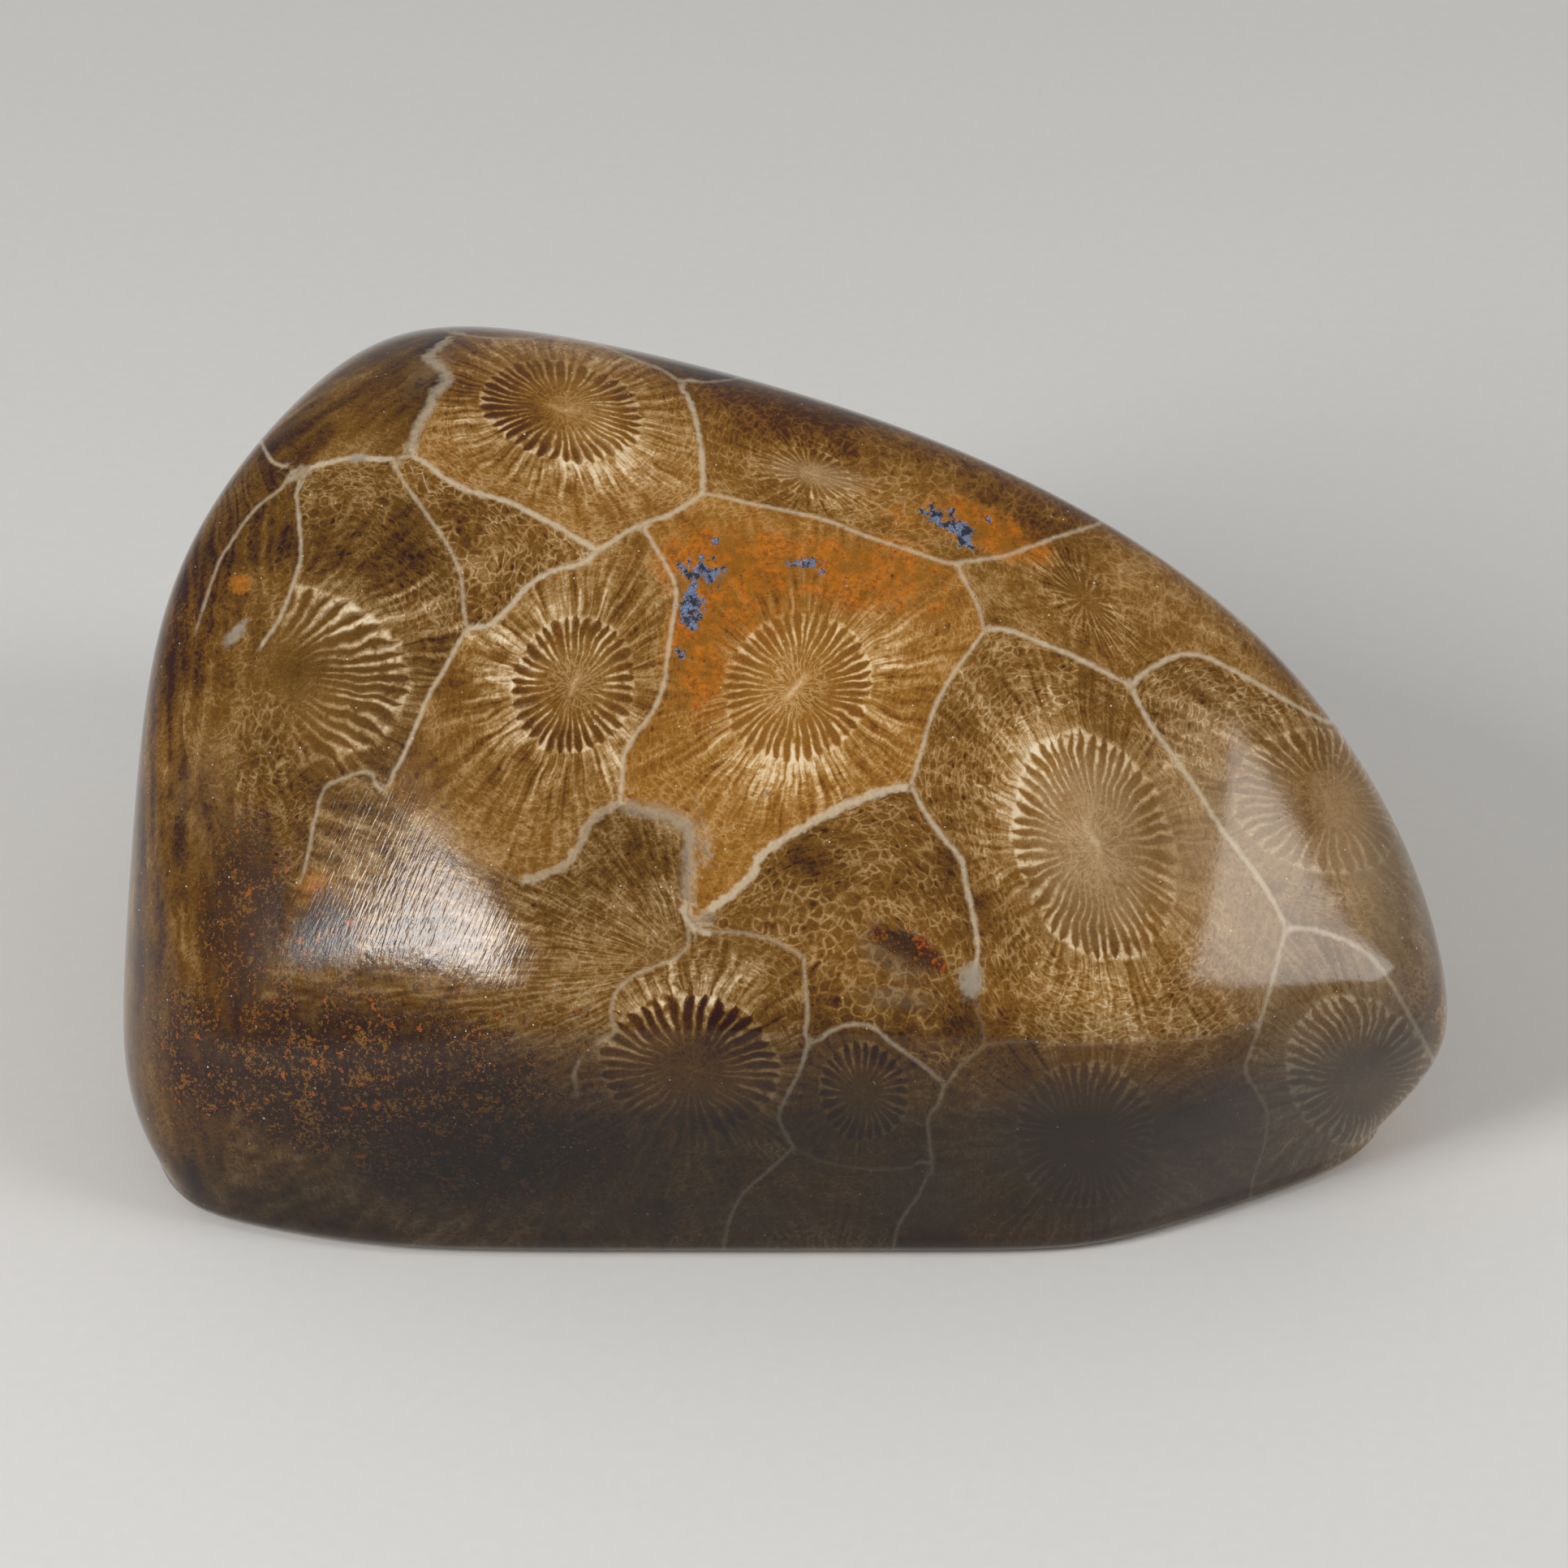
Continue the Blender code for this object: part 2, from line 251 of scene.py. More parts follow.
# Blotches: centre and half-lengths in pixels, angle in degrees clockwise from the right, strength.
BLOTCHES = {
    "iron": (
        ((910, 695), 110, 58, 8, 1.0), ((1060, 705), 120, 50, 6, 1.0), ((862, 790), 48, 95, 5, 1.0),
        ((910, 765), 70, 50, 0, 0.8), ((1130, 735), 70, 40, 25, 0.6), ((1215, 650), 90, 30, 24, 1.0),
        ((1120, 640), 60, 30, 20, 0.5), ((980, 880), 250, 180, 0, 0.22), ((740, 790), 90, 110, 0, 0.15),
        ((295, 720), 16, 12, 0, 0.8), ((395, 1100), 40, 30, 30, 0.55),
    ),
    # Haze: a paler, hazy tone; the two large patches on the right, at (1540, 1080) and (1700, 1080), are
    # painted reflection of the right light.
    "haze": (
        ((1350, 1040), 90, 125, -12, 0.75), ((1540, 1080), 110, 200, -20, 0.9),
        ((1700, 1080), 80, 190, -10, 0.85), ((530, 455), 50, 20, -40, 0.5), ((1010, 585), 70, 18, 10, 0.7),
        ((250, 980), 60, 110, 0, 0.35), ((530, 1020), 40, 20, 30, 0.6), ((830, 1010), 60, 25, 20, 0.4),
    ),
    "matrix": (
        ((430, 1335), 310, 120, 8, 1.0), ((600, 1420), 220, 80, 0, 0.9), ((298, 1125), 60, 130, 5, 0.95),
        ((395, 1150), 48, 62, 20, 0.9), ((225, 760), 40, 110, 15, 0.35), ((1118, 1168), 52, 20, 32, 0.8),
    ),
    "pits": (
        ((866, 703), 28, 22, 0, 1.0), ((852, 748), 17, 34, 8, 1.2), ((838, 806), 9, 12, 10, 0.7),
        ((878, 668), 12, 9, 0, 0.8), ((995, 698), 30, 14, 5, 0.8), ((1054, 692), 9, 8, 0, 0.9),
        ((1150, 632), 22, 14, 30, 0.9), ((1185, 655), 36, 17, 42, 1.0), ((1222, 640), 14, 8, 40, 0.6),
    ),
    "rust": (
        ((1082, 1146), 15, 8, 25, 0.9), ((1140, 1166), 22, 12, 55, 0.9), ((1158, 1190), 16, 8, 25, 1.0),
    ),
    "grey": (
        ((1100, 1178), 60, 26, 26, 0.7), ((1110, 1230), 70, 20, 5, 0.6), ((1335, 1410), 150, 80, 0, 0.9),
        ((900, 1500), 320, 40, 0, 0.5), ((1140, 1470), 90, 60, 0, 0.7), ((300, 1150), 50, 170, 0, 0.6),
        ((1730, 1090), 50, 150, -8, 0.8),
    ),
    "faint": (
        ((270, 930), 130, 130, 20, 1.0), ((220, 800), 90, 120, 10, 1.0), ((985, 745), 120, 25, 0, 0.5),
        ((860, 1410), 140, 60, 0, 0.5), ((700, 430), 130, 25, 5, 0.5), ((800, 790), 35, 80, 0, 0.3),
        ((1440, 1060), 60, 110, -10, 0.3), ((880, 840), 30, 70, 0, 0.3),
    ),
    # Darker patches: mostly the stone's own; the thin ones along the top edge, at (700, 400), (960, 490) and
    # (1250, 590), are painted shade where the surface turns away.
    "dark": (
        ((640, 495), 60, 45, 10, 1.0), ((700, 880), 60, 60, 0, 0.4), ((1205, 930), 30, 50, -15, 0.3),
        ((1330, 1190), 70, 36, 0, 0.45), ((550, 430), 30, 40, 40, 0.5), ((880, 1300), 80, 50, 0, 0.5),
        ((200, 820), 60, 140, 12, 0.3), ((700, 400), 160, 20, 6, 0.6), ((960, 490), 150, 34, 17, 1.0),
        ((1250, 590), 150, 24, 26, 0.6),
    ),
    "bright": (
        ((985, 955), 110, 34, 0, 0.3), ((1100, 830), 45, 60, 0, 0.25), ((600, 800), 50, 60, 0, 0.45),
        ((780, 950), 50, 30, -35, 0.4), ((620, 930), 50, 60, 30, 0.3), ((720, 590), 130, 30, 8, 0.35),
        ((590, 540), 50, 60, 0, 0.3), ((850, 1220), 90, 36, -10, 0.6), ((1250, 960), 50, 70, 10, 0.3),
        ((1340, 1190), 90, 30, 0, 0.3), ((440, 760), 50, 70, 10, 0.4),
    ),
    "scratched": (
        ((540, 1110), 130, 110, -20, 1.0), ((440, 1040), 90, 90, 0, 0.6), ((700, 1130), 90, 90, 0, 0.4),
    ),
    "knot": (
        ((1196, 1210), 17, 30, 10, 0.9), ((440, 564), 14, 7, 0, 1.1), ((290, 780), 9, 26, 40, 0.9),
        ((865, 1040), 22, 60, -8, 0.45),
    ),
}


# ================================================================ shape


def facet_planes():
    azimuth, elevation = (np.radians([facet[i] for facet in FACETS]) for i in (1, 2))
    reach, softness = (np.array([facet[i] for facet in FACETS]) * MM for i in (3, 4))
    normals = np.stack(
        [np.cos(azimuth) * np.cos(elevation), np.sin(azimuth) * np.cos(elevation), np.sin(elevation)], axis=1
    )
    return normals, reach, softness


def distance_to_surface(directions):
    """How far the stone reaches from its core along each unit direction."""
    normals, reach, softness = facet_planes()
    along = directions @ normals.T
    near = np.zeros(len(directions))
    far = np.full(len(directions), FARTHEST_REACH)
    for _ in range(HALVINGS):
        middle = (near + far) / 2
        past_facets = (middle[:, None] * along - reach) / softness
        outside = np.exp(np.minimum(past_facets, HALVINGS)).sum(axis=1) > 1
        far = np.where(outside, middle, far)
        near = np.where(outside, near, middle)
    return near


def even_ball(bm):
    bmesh.ops.create_cube(bm, size=2.0)
    bmesh.ops.subdivide_edges(bm, edges=bm.edges[:], cuts=FACES_ALONG_SIDE - 1, use_grid_fill=True)
    for vert in bm.verts:
        vert.co = Vector([math.tan(side * math.pi / 4) for side in vert.co]).normalized()


def grind_facets(bm):
    directions = np.array([vert.co for vert in bm.verts])
    reach = distance_to_surface(directions)
    for vert, distance in zip(bm.verts, reach):
        vert.co = CORE + vert.co * distance


def outward(points):
    normals, reach, softness = facet_planes()
    past_facets = ((points - np.array(CORE)) @ normals.T - reach) / softness
    slope = (np.exp(past_facets) / softness) @ normals
    slope[:, 2] = 0
    return slope / np.linalg.norm(slope, axis=1, keepdims=True)


def grown(bm, rim):
    """The points and the edges of a new rim, joined to this one by faces."""
    parts = bmesh.ops.extrude_edge_only(bm, edges=rim)["geom"]
    kinds = (bmesh.types.BMVert, bmesh.types.BMEdge)
    return [[part for part in parts if isinstance(part, kind)] for kind in kinds]


def grind_base(bm):
    base_height = CORE.z - BASE_BELOW_CORE
    bmesh.ops.bisect_plane(
        bm,
        geom=bm.verts[:] + bm.edges[:] + bm.faces[:],
        plane_co=(0, 0, base_height + RIM_RADIUS),
        plane_no=(0, 0, -1),
        clear_outer=True,
    )
    bmesh.ops.remove_doubles(bm, verts=[vert for vert in bm.verts if vert.is_boundary], dist=WELD)
    rim = [edge for edge in bm.edges if edge.is_boundary]
    for step in range(1, RIM_STEPS + 1):
        turn = step / RIM_STEPS * math.pi / 2
        last_turn = turn - math.pi / 2 / RIM_STEPS
        inward = RIM_RADIUS * (math.cos(last_turn) - math.cos(turn))
        verts, rim = grown(bm, rim)
        away = outward(np.array([vert.co for vert in verts]))
        for vert, direction in zip(verts, away):
            vert.co -= Vector(direction) * inward
            vert.co.z = base_height + RIM_RADIUS * (1 - math.sin(turn))
    fill_base(bm, rim)


def fill_base(bm, rim):
    """Closes the base with rings of faces towards its middle, so that it is as fine as the rest."""
    middle = Vector(np.mean([edge.verts[0].co for edge in rim], axis=0))
    for ring in range(1, BASE_RINGS):
        shrink = (BASE_RINGS - ring) / (BASE_RINGS - ring + 1)
        verts, rim = grown(bm, rim)
        for vert in verts:
            vert.co = middle + (vert.co - middle) * shrink
    bmesh.ops.contextual_create(bm, geom=rim)


def stone_mesh():
    """The stone's mesh, standing on the origin, and how far it was moved to stand there."""
    bm = bmesh.new()
    even_ball(bm)
    grind_facets(bm)
    grind_base(bm)
    corners = np.array([vert.co for vert in bm.verts])
    low, high = corners.min(axis=0), corners.max(axis=0)
    shift = Vector((-(low[0] + high[0]) / 2, -(low[1] + high[1]) / 2, -low[2]))
    bmesh.ops.translate(bm, verts=bm.verts[:], vec=shift)
    bmesh.ops.scale(bm, verts=bm.verts[:], vec=(SHRINK, SHRINK, SHRINK))
    bmesh.ops.triangulate(bm, faces=bm.faces[:])
    bmesh.ops.recalc_face_normals(bm, faces=bm.faces[:])
    mesh = bpy.data.meshes.new("coral_stone")
    bm.to_mesh(mesh)
    tree = BVHTree.FromBMesh(bm)
    bm.free()
    mesh.shade_smooth()
    return mesh, tree, shift


# ================================================================ from pixels to the stone


def view_axes():
    """Unit vectors: right, up and back towards the camera."""
    tilt = CAMERA_ELEVATION
    right = Vector((1, 0, 0))
    up = Vector((0, math.sin(tilt), math.cos(tilt)))
    back = Vector((0, -math.cos(tilt), math.sin(tilt)))
    return right, up, back


def pixel_ray(pixel, aim):
    """The camera's place and the direction of its ray through a pixel."""
    right, up, back = view_axes()
    across = (pixel[0] - IMAGE_SIDE / 2) * SENSOR / IMAGE_SIDE / LENS
    upwards = (IMAGE_SIDE / 2 - pixel[1]) * SENSOR / IMAGE_SIDE / LENS
    return aim + back * CAMERA_DISTANCE, (right * across + up * upwards - back).normalized()


def on_stone(pixel, tree, aim):
    """The point of the stone that shows at a pixel, or beside the stone, the point level with its middle."""
    eye, ray = pixel_ray(pixel, aim)
    place, normal, _, _ = tree.ray_cast(eye, ray)
    back = view_axes()[2]
    if place is None:
        level = (STONE_MIDDLE * MM - eye).dot(back) / ray.dot(back)
        return eye + ray * level, back
    return place, normal


def fan(points):
    """Coordinates in the colony's fan, in mm: across and up, as the front shows them, and outwards."""
    right, up, back = (np.array(axis) for axis in view_axes())
    root = np.array(STONE_MIDDLE) - back * ROOT_BEHIND
    from_root = np.atleast_2d(points) / MM - root
    outwards = from_root @ back
    scale = FAN_REFERENCE / outwards
    return np.stack([from_root @ right * scale, from_root @ up * scale, outwards - FAN_REFERENCE], axis=1)


def walked(line):
    """How far along a line each of its points lies."""
    return np.concatenate([[0], np.cumsum(np.linalg.norm(np.diff(line, axis=0), axis=1))])


def at_distances(line, distances):
    """The points of a line at these distances along it."""
    return np.stack([np.interp(distances, walked(line), line[:, i]) for i in (0, 1)], axis=1)


def smooth_line(points):
    """Points every PIXEL_STEP along a smooth line through the given ones."""
    points = np.array(points, float)
    padded = np.vstack([2 * points[0] - points[1], points, 2 * points[-1] - points[-2]])
    line = []
    for before, start, end, after in zip(padded, padded[1:], padded[2:], padded[3:]):
        count = max(2, int(np.linalg.norm(end - start) / PIXEL_STEP))
        t = np.linspace(0, 1, count, endpoint=False)[:, None]
        bend = 2 * before - 5 * start + 4 * end - after
        twist = 3 * start - before - 3 * end + after
        line.append(0.5 * (2 * start + (end - before) * t + bend * t**2 + twist * t**3))
    line = np.vstack(line + [points[-1:]])
    length = walked(line)[-1]
    return at_distances(line, np.linspace(0, length, max(2, int(length / PIXEL_STEP) + 1)))


def wall_samples(tree, aim):
    """Pairs of points beside every wall, in the fan: cell, place, wall width and strength of each point."""
    cells, places, looks = [], [], []
    names = list(CORALLITES)
    for left, right, width, strength, *pixels in WALLS:
        line = fan([on_stone(pixel, tree, aim)[0] for pixel in smooth_line(pixels)])[:, :2]
        length = walked(line)[-1]
        count = max(1, round((length - 2 * WALL_SIDE) / WALL_SAMPLE)) + 1
        at = np.linspace(WALL_SIDE, length - WALL_SIDE, count)
        along = at_distances(line, at + HALF_CHORD) - at_distances(line, at - HALF_CHORD)
        along /= np.linalg.norm(along, axis=1, keepdims=True)
        to_left = np.stack([-along[:, 1], along[:, 0]], axis=1)
        for cell, side in ((left, 1), (right, -1)):
            places.append(at_distances(line, at) + to_left * WALL_SIDE * side)
            cells.append(np.full(count, names.index(cell)))
            looks.append(np.tile([width * MM_PER_PIXEL, strength], (count, 1)))
    return np.concatenate(cells), np.vstack(places), np.vstack(looks)


def nearest_of_each(places, cells, samples):
    """For each place, the squared distance to each cell's nearest sample, and which sample that is."""
    count = len(CORALLITES)
    squares = np.full((len(places), count), np.inf, np.float32)
    which = np.zeros((len(places), count), np.int32)
    for cell in range(count):
        own = np.flatnonzero(cells == cell)
        if not len(own):
            continue
        for start in range(0, len(places), 20000):
            part = places[start : start + 20000]
            square = ((part[:, None, :] - samples[own][None]) ** 2).sum(axis=2)
            best = square.argmin(axis=1)
            squares[start : start + 20000, cell] = square[np.arange(len(part)), best]
            which[start : start + 20000, cell] = own[best]
    return squares, which


def waves(places, size, seed, count=5):
    """A smooth wandering number from about -1 to 1, over lengths of about size."""
    draw = np.random.default_rng(seed)
    total = np.zeros(len(places))
    for _ in range(count):
        direction = draw.normal(size=places.shape[1])
        direction *= draw.uniform(0.6, 1.6) / size / np.linalg.norm(direction)
        total += np.sin(places @ direction * math.pi + draw.uniform(0, 2 * math.pi))
    return total / count * 1.6


def ring_frames(tree, aim):
    """Each corallite's centre in the fan, and the matrix from the fan's mm to its own ring radii."""
    centres, matrices, radii = [], [], []
    for centre, long, short, angle, *_ in CORALLITES.values():
        turn = math.radians(angle)
        sides = (
            (long * math.cos(turn), long * math.sin(turn)),
            (-short * math.sin(turn), short * math.cos(turn)),
        )
        ends = []
        for across, down in sides:
            pair = [(centre[0] + s * across, centre[1] + s * down) for s in (-1, 1)]
            low, high = (fan([on_stone(pixel, tree, aim)[0]])[0, :2] for pixel in pair)
            ends.append((high - low) / 2)
        centres.append(fan([on_stone(centre, tree, aim)[0]])[0, :2])
        matrices.append(np.linalg.inv(np.array(ends).T))
        radii.append(math.sqrt(np.linalg.norm(ends[0]) * np.linalg.norm(ends[1])))
    return np.array(centres), np.array(matrices), np.array(radii)


def add_attributes(mesh, domain, **fields):
    """Adds each field, of one number or three for every point or corner, to the mesh."""
    for name, values in fields.items():
        kind, key = ("FLOAT", "value") if np.ndim(values) == 1 else ("FLOAT_VECTOR", "vector")
        made = mesh.attributes.new(name, kind, domain)
        made.data.foreach_set(key, np.asarray(values, np.float32).ravel())


def blotch(points, name, tree, aim):
    """How strongly the blotches of this name cover each point, from 0 to about 1."""
    cover = np.zeros(len(points))
    for centre, long, short, angle, strength in BLOTCHES[name]:
        place, normal = on_stone(centre, tree, aim)
        eye, ray = pixel_ray(centre, aim)
        turn = math.radians(angle)
        axes = []
        for size, direction in ((long, turn), (short, turn + math.pi / 2)):
            pixel = (centre[0] + math.cos(direction), centre[1] + math.sin(direction))
            _, other = pixel_ray(pixel, aim)
            reach = normal.dot(place - eye) / normal.dot(other)
            axes.append(np.array(eye + other * reach - place) * size)
        matrix = np.array([*axes, np.array(normal) * math.sqrt(long * short) * MM_PER_PIXEL * MM])
        local = (points - np.array(place)) @ np.linalg.inv(matrix)
        cover = np.maximum(cover, strength * np.exp(-0.9 * (local**2).sum(axis=1) ** 1.25))
    return cover


def read(items, name, width=3):
    values = np.zeros(len(items) * width)
    items.foreach_get(name, values)
    return values.reshape(-1, width)


def painted_front_shade(points, normals):
    """How much painted shade each point takes: from 0 at the front wall's ridge to 1 far down it, where its
    normal faces the front.
    """
    below_ridge = (np.interp(points[:, 0] / MM, *RIDGE_LINE) - points[:, 2] / MM) / RIDGE_SHADE_DEPTH
    faces_front = (-normals[:, 1] - FRONT_FACING[0]) / (FRONT_FACING[1] - FRONT_FACING[0])
    return np.clip(faces_front, 0, 1) * np.clip(below_ridge, 0, 1) ** RIDGE_SHADE_CURVE


def lay_out(mesh, tree, aim):
    """Writes onto the mesh where each point lies in the colony, as attributes that the material reads."""
    points, normals = read(mesh.vertices, "co"), read(mesh.vertices, "normal")
    turned_away = np.clip(TURNED_AWAY - normals @ np.array(view_axes()[2]), 0, 1)
    place = fan(points)
    wander = sum(
        share * np.stack([waves(points / MM, size, seed) for seed in seeds], axis=1)
        for size, share, seeds in WANDER
    )
    place[:, :2] += wander * turned_away[:, None]

    cells, samples, looks = wall_samples(tree, aim)
    squares, which = nearest_of_each(place[:, :2], cells, samples)
    order = np.argsort(squares, axis=1)[:, :2]
    rows = np.arange(len(points))
    own, other = which[rows, order[:, 0]], which[rows, order[:, 1]]
    apart = samples[other] - samples[own]
    gap = np.linalg.norm(apart, axis=1)
    to_wall = (squares[rows, order[:, 1]] - squares[rows, order[:, 0]]) / 2 / gap
    reach = np.sqrt(squares[rows, order[:, 0]]) + WALL_SIDE
    to_wall += (reach - to_wall) * np.clip((reach - FAR_FROM_WALL) / FAR_FADE, 0, 1)

    centres, matrices, radii = ring_frames(tree, aim)
    septa_counts = np.array([entry[4] for entry in CORALLITES.values()])

    def ring_place(cell, at):
        """Place in ring radii, and one number that holds the cell's own and, in hundredths, its septa."""
        local = np.einsum("nij,nj->ni", matrices[cell], at - centres[cell])
        return np.c_[local, cell + septa_counts[cell] / 100]

    corners = np.zeros(len(mesh.loops), np.int32)
    mesh.loops.foreach_get("vertex_index", corners)
    nearest = order[:, 0][corners.reshape(-1, 3)]
    first = nearest[:, 0]
    differs = nearest != first[:, None]
    second = np.where(differs.any(axis=1), nearest[np.arange(len(nearest)), differs.argmax(axis=1)], first)
    first, second = np.repeat(first, 3), np.repeat(second, 3)
    at = place[corners, :2]
    add_attributes(
        mesh,
        "CORNER",
        side=np.where(order[:, 0][corners] == first, 1, -1) * to_wall[corners],
        first_cell=ring_place(first, at),
        second_cell=ring_place(second, at),
    )
    mine = np.array([entry[5:] for entry in CORALLITES.values()], float)[order[:, 0]]
    cover = {name: blotch(points, name, tree, aim) for name in BLOTCHES}
    brighter = cover["bright"] - cover["faint"]
    add_attributes(
        mesh,
        "POINT",
        wall_offset=np.c_[apart / gap[:, None] * to_wall[:, None], to_wall],
        wall_width=looks[other, 0],
        wall_strength=looks[other, 1],
        tube=place,
        ring_look=mine[:, :3],
        septa_look=np.c_[mine[:, 3:5], radii[order[:, 0]]],
        cell_tone=mine[:, 5:8],
        cell_fill=np.c_[brighter, cover["dark"], mine[:, 8]],
        # The haze among these is partly painted reflection.
        stains=np.c_[cover["iron"], cover["haze"], cover["matrix"]],
        spots=np.c_[cover["pits"], cover["rust"], cover["grey"]],
        # The last of these is the share of painted shade on the front wall.
        finish=np.c_[cover["knot"], cover["scratched"], painted_front_shade(points, normals)],
    )


# ================================================================ material


class Field:
    """A number or a vector that varies over the surface, as the output of a node. Arithmetic adds nodes."""

    tree = None

    def __init__(self, socket):
        self.socket = socket


def arithmetic(operation, reflected):
    if reflected:
        return lambda self, other: maths(operation, other, self)
    return lambda self, other: maths(operation, self, other)


for sign, operation in (("add", "ADD"), ("sub", "SUBTRACT"), ("mul", "MULTIPLY"), ("truediv", "DIVIDE")):
    setattr(Field, "__%s__" % sign, arithmetic(operation, False))
    setattr(Field, "__r%s__" % sign, arithmetic(operation, True))


def node(kind, inputs=None, **settings):
    """A new node with these settings, and with these constants or fields at its inputs."""
    made = Field.tree.nodes.new(kind)
    for name, value in settings.items():
        setattr(made, name, value)
    for key, value in (inputs or {}).items():
        put(made.inputs[key], value)
    return made


def field(kind, inputs=None, output=0, **settings):
    return Field(node(kind, inputs, **settings).outputs[output])


def put(socket, value):
    if isinstance(value, Field):
        Field.tree.links.new(value.socket, socket)
    elif isinstance(value, (tuple, list)) and len(socket.default_value) == 4 and len(value) == 3:
        socket.default_value = (*value, 1.0)
    else:
        socket.default_value = value


def maths(operation, *values, clamp=False):
    return field("ShaderNodeMath", dict(enumerate(values)), operation=operation, use_clamp=clamp)


def vector_maths(operation, *values, output="Vector"):
    return field("ShaderNodeVectorMath", dict(enumerate(values)), output, operation=operation)


def scaled(place, scale):
    return field("ShaderNodeVectorMath", {0: place, "Scale": scale}, operation="SCALE")


def moved(place, by):
    return vector_maths("ADD", place, by)


def vector(x, y, z):
    return field("ShaderNodeCombineXYZ", {"X": x, "Y": y, "Z": z})


def parts(value):
    return [Field(output) for output in node("ShaderNodeSeparateXYZ", {0: value}).outputs]


def attribute(name, output="Vector"):
    return field("ShaderNodeAttribute", output=output, attribute_name=name)


def smooth(value, low, high):
    """0 below low and 1 above high, or the other way round where low is above high, with a soft step."""
    flipped = not isinstance(low, Field) and not isinstance(high, Field) and low > high
    start, end = (high, low) if flipped else (low, high)
    inputs = {"Value": value, "From Min": start, "From Max": end}
    inputs |= {"To Min": float(flipped), "To Max": float(not flipped)}
    return field("ShaderNodeMapRange", inputs, "Result", interpolation_type="SMOOTHSTEP")


def between(low, high, share):
    """A number part of the way from low to high."""
    return field("ShaderNodeMix", {"Factor": share, "A": low, "B": high}, "Result", data_type="FLOAT")


def colours(low, high, share, blend="MIX"):
    inputs = {"Factor": share, 6: low, 7: high}
    return field("ShaderNodeMix", inputs, 2, data_type="RGBA", blend_type=blend)


def layered(ground, *layers):
    """The ground's colour, with each layer's colour laid over it by that layer's share."""
    for colour, share in layers:
        ground = colours(ground, colour, share)
    return ground


def noise(place, size, detail=2.0, roughness=0.5, output="Fac"):
    """Smooth noise about 0.5 in a length of size."""
    inputs = {"Vector": place, "Scale": 1.0 / size, "Detail": detail, "Roughness": roughness}
    return field("ShaderNodeTexNoise", inputs, output)


def cracks(place, size):
    """Distance to the nearest border between scattered cells, in units of size."""
    inputs = {"Vector": place, "Scale": 1.0 / size}
    return field("ShaderNodeTexVoronoi", inputs, "Distance", feature="DISTANCE_TO_EDGE")


def dots(place, size):
    """Distance to the nearest of scattered points, in units of size, and that point's own random colour."""
    made = node("ShaderNodeTexVoronoi", {"Vector": place, "Scale": 1.0 / size})
    return Field(made.outputs["Distance"]), Field(made.outputs["Color"])


def off_row(phase):
    """How far phase is from the nearest whole number and a half."""
    return maths("ABSOLUTE", maths("FRACT", phase) - 0.5)


def draw(place):
    """Three random numbers for each different vector."""
    return parts(field("ShaderNodeTexWhiteNoise", {"Vector": place}, "Color"))


VEIL = 0.016  # the light that the polish itself sends back everywhere


def display(red, green, blue):
    """The colour that shows as these 8-bit values where the light is even."""
    return tuple(max(((v / 255 + 0.055) / 1.055) ** 2.4 - VEIL, 0.002) for v in (red, green, blue))


OLIVE = (display(54, 35, 13), display(102, 73, 35), display(150, 121, 83), display(198, 177, 144))
GOLD = (display(100, 62, 18), display(146, 101, 46), display(183, 143, 91), display(218, 191, 150))
PALE = display(230, 214, 186)
WALL_GREY = display(184, 170, 148)
KNOT_GREY = display(150, 140, 124)
ORANGE = display(192, 112, 14)
ORANGE_MID = display(138, 90, 30)
ORANGE_DARK = display(112, 66, 16)
# Pale beige of the haze: partly the stone's own tone, partly painted reflection.
HAZE_AND_SHEEN = display(166, 144, 116)
MATRIX = display(48, 31, 6)
MATRIX_LIGHT = display(120, 82, 36)
MATRIX_PURPLE = display(66, 46, 28)
MATRIX_SPECK = display(158, 86, 28)
RUST = display(78, 46, 26)
RUST_LIGHT = display(156, 78, 18)
SLATE = display(90, 108, 140)
SLATE_PALE = display(136, 150, 178)
SOOT = display(34, 34, 38)
GREY = display(90, 82, 72)
# White of the painted glints.
PAINTED_GLINT_WHITE = display(226, 220, 208)
SHADE_STEPS = ((-0.35, 0.40), (0.25, 0.90), (0.75, 1.30), (1.20, 1.80))  # tones at which the shades blend
PAINTED_FRONT_WALL_SHADE = 0.80  # how much the painted shade darkens the front wall's colour
STONE_IOR = 1.42
POLISH = 0.07  # the least roughness
BUMP_STRENGTH = 0.35
BUMP_DEPTH = 0.02 * MM
NOISES = {  # size in mm, detail, roughness
    "speckle": (0.085, 1.0, 0.7),
    "grain": (0.24, 2.0, 0.65),
    "strokes": (0.5, 2.0, 0.5),
    "mottle": (1.3, 3.0, 0.6),
    "cloud": (6.0, 2.0, 0.55),
}
SCRATCH_ALONG = Vector((0.42, 0.55, 0.72)).normalized()  # of the polishing scratches on the brow
SCRATCH_ACROSS = SCRATCH_ALONG.orthogonal().normalized()


def patterns():
    """The place in mm, the noises that many layers share, and a ragged edge for the blotches."""
    at = SimpleNamespace(place=scaled(field("ShaderNodeTexCoord", output="Object"), 1 / MM))
    at.drift = vector_maths("SUBTRACT", noise(at.place, 2.2, 1.0, output="Color"), (0.5, 0.5, 0.5))
    at.shiver = vector_maths("SUBTRACT", noise(at.place, 0.6, 1.0, output="Color"), (0.5, 0.5, 0.5))
    at.drift_x, at.drift_y, at.drift_z = parts(at.drift)
    at.shiver_x, at.shiver_y, at.shiver_z = parts(at.shiver)
    for name, settings in NOISES.items():
        setattr(at, name, noise(at.place, *settings))
    at.ragged = (at.mottle - 0.5) * 1.1 + (at.grain - 0.5) * 0.5
    return at


